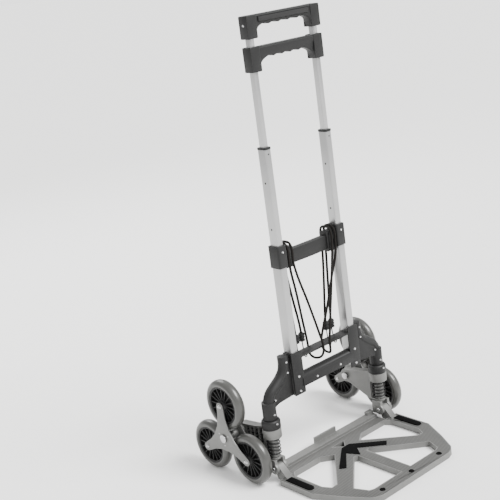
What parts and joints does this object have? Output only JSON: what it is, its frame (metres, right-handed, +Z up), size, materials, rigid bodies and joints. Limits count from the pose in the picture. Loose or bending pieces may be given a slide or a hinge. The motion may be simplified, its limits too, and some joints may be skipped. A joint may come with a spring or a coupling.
{
  "type": "folding stair-climber hand truck",
  "caption": "Folding telescoping hand truck with swivelling three-wheel stair-climbing clusters, fold-up toe plate and elastic cords.",
  "frame": {"origin": "on the floor under the middle of the toe plate's rear beam", "axes": "+X to the right-hand wheel cluster, toe plate towards -Y, +Z up along the uprights"},
  "size_m": [0.5236, 0.521, 1.098],
  "materials": {
    "dark_paint": "fine powder coat",
    "satin_aluminium": "satin anodised",
    "cast_silver": "silver-grey satin",
    "bright_steel": "bright zinc",
    "grey_tyre": "smooth grey elastomer",
    "grip_rubber": "matt",
    "soft_grip": "soft touch",
    "cord_braid": "braided",
    "black_plastic": "fine grain"
  },
  "bodies": {
    "root": {"lower_frame": "dark_paint", "mid_crossbar": "black_plastic", "left_outer_tube": "satin_aluminium", "right_outer_tube": "satin_aluminium", "left_shoulder": "black_plastic", "right_shoulder": "black_plastic", "left_strut_collar": "black_plastic", "right_strut_collar": "black_plastic", "left_strut_foot": "cast_silver", "right_strut_foot": "cast_silver", "left_hinge_pin": "bright_steel", "right_hinge_pin": "bright_steel", "left_strut_spring": "bright_steel", "right_strut_spring": "bright_steel", "left_cord": "cord_braid", "right_cord": "cord_braid", "left_cord_end_outer": "black_plastic", "left_cord_end_inner": "black_plastic", "right_cord_end_outer": "black_plastic", "right_cord_end_inner": "black_plastic"},
    "middle_stage": {"left_middle_tube": "satin_aluminium", "right_middle_tube": "satin_aluminium", "left_collar_ring": "black_plastic", "right_collar_ring": "black_plastic"},
    "inner_stage": {"left_inner_tube": "satin_aluminium", "right_inner_tube": "satin_aluminium", "top_handle": "black_plastic", "handle_soft_grip": "soft_grip"},
    "release": {"release_grip": "black_plastic", "left_release_rod": "bright_steel", "right_release_rod": "bright_steel"},
    "toe": {"toe_plate": "cast_silver", "grip_pad_middle": "grip_rubber", "left_grip_strip": "grip_rubber", "right_grip_strip": "grip_rubber"},
    "left_bracket": {"left_wheel_bracket": "cast_silver", "left_cluster_axle": "bright_steel"},
    "right_bracket": {"right_wheel_bracket": "cast_silver", "right_cluster_axle": "bright_steel"},
    "left_cluster": {"left_spider_inner": "cast_silver", "left_spider_outer": "cast_silver"},
    "right_cluster": {"right_spider_inner": "cast_silver", "right_spider_outer": "cast_silver"},
    "left_wheel_1": {"left_tyre_1": "grey_tyre", "left_rim_1": "black_plastic"},
    "left_wheel_2": {"left_tyre_2": "grey_tyre", "left_rim_2": "black_plastic"},
    "left_wheel_3": {"left_tyre_3": "grey_tyre", "left_rim_3": "black_plastic"},
    "right_wheel_1": {"right_tyre_1": "grey_tyre", "right_rim_1": "black_plastic"},
    "right_wheel_2": {"right_tyre_2": "grey_tyre", "right_rim_2": "black_plastic"},
    "right_wheel_3": {"right_tyre_3": "grey_tyre", "right_rim_3": "black_plastic"}
  },
  "joints": [
    {"name": "middle_stage_slide", "type": "slide", "parent": "root", "child": "middle_stage", "axis": [0, 0, 1], "range_m": [-0.222, 0]},
    {"name": "inner_stage_slide", "type": "slide", "parent": "middle_stage", "child": "inner_stage", "axis": [0, 0, 1], "range_m": [-0.166, 0]},
    {"name": "release_grip_slide", "type": "slide", "parent": "inner_stage", "child": "release", "axis": [0, 0, 1], "range_m": [0, 0.014], "stiffness_N_per_m": 900, "springref_m": -0.012},
    {"name": "toe_plate_fold", "type": "hinge", "parent": "root", "child": "toe", "pos_m": [0, -0.008, 0.035], "axis": [-1, 0, 0], "range_deg": [0, 90]},
    {"name": "left_wheel_swivel", "type": "hinge", "parent": "root", "child": "left_bracket", "pos_m": [-0.191, 0, 0.1], "axis": [0, 0, -1], "range_deg": [0, 52.5]},
    {"name": "right_wheel_swivel", "type": "hinge", "parent": "root", "child": "right_bracket", "pos_m": [0.191, 0, 0.1], "axis": [0, 0, 1], "range_deg": [0, 52.5]},
    {"name": "left_cluster_spin", "type": "hinge", "parent": "left_bracket", "child": "left_cluster", "pos_m": [-0.2365, 0.1065, 0.10565], "axis": [1, 0, 0], "continuous": true},
    {"name": "right_cluster_spin", "type": "hinge", "parent": "right_bracket", "child": "right_cluster", "pos_m": [0.2365, 0.1065, 0.10565], "axis": [1, 0, 0], "continuous": true},
    {"name": "left_wheel_1_spin", "type": "hinge", "parent": "left_cluster", "child": "left_wheel_1", "pos_m": [-0.2365, 0.1065, 0.18995], "axis": [1, 0, 0], "continuous": true},
    {"name": "left_wheel_2_spin", "type": "hinge", "parent": "left_cluster", "child": "left_wheel_2", "pos_m": [-0.2365, 0.03349, 0.0635], "axis": [1, 0, 0], "continuous": true},
    {"name": "left_wheel_3_spin", "type": "hinge", "parent": "left_cluster", "child": "left_wheel_3", "pos_m": [-0.2365, 0.17951, 0.0635], "axis": [1, 0, 0], "continuous": true},
    {"name": "right_wheel_1_spin", "type": "hinge", "parent": "right_cluster", "child": "right_wheel_1", "pos_m": [0.2365, 0.1065, 0.18995], "axis": [1, 0, 0], "continuous": true},
    {"name": "right_wheel_2_spin", "type": "hinge", "parent": "right_cluster", "child": "right_wheel_2", "pos_m": [0.2365, 0.03349, 0.0635], "axis": [1, 0, 0], "continuous": true},
    {"name": "right_wheel_3_spin", "type": "hinge", "parent": "right_cluster", "child": "right_wheel_3", "pos_m": [0.2365, 0.17951, 0.0635], "axis": [1, 0, 0], "continuous": true}
  ],
  "couplings": [
    {"joint": "left_wheel_swivel", "follows": "toe_plate_fold", "ratio": 0.58},
    {"joint": "right_wheel_swivel", "follows": "toe_plate_fold", "ratio": 0.58}
  ]
}
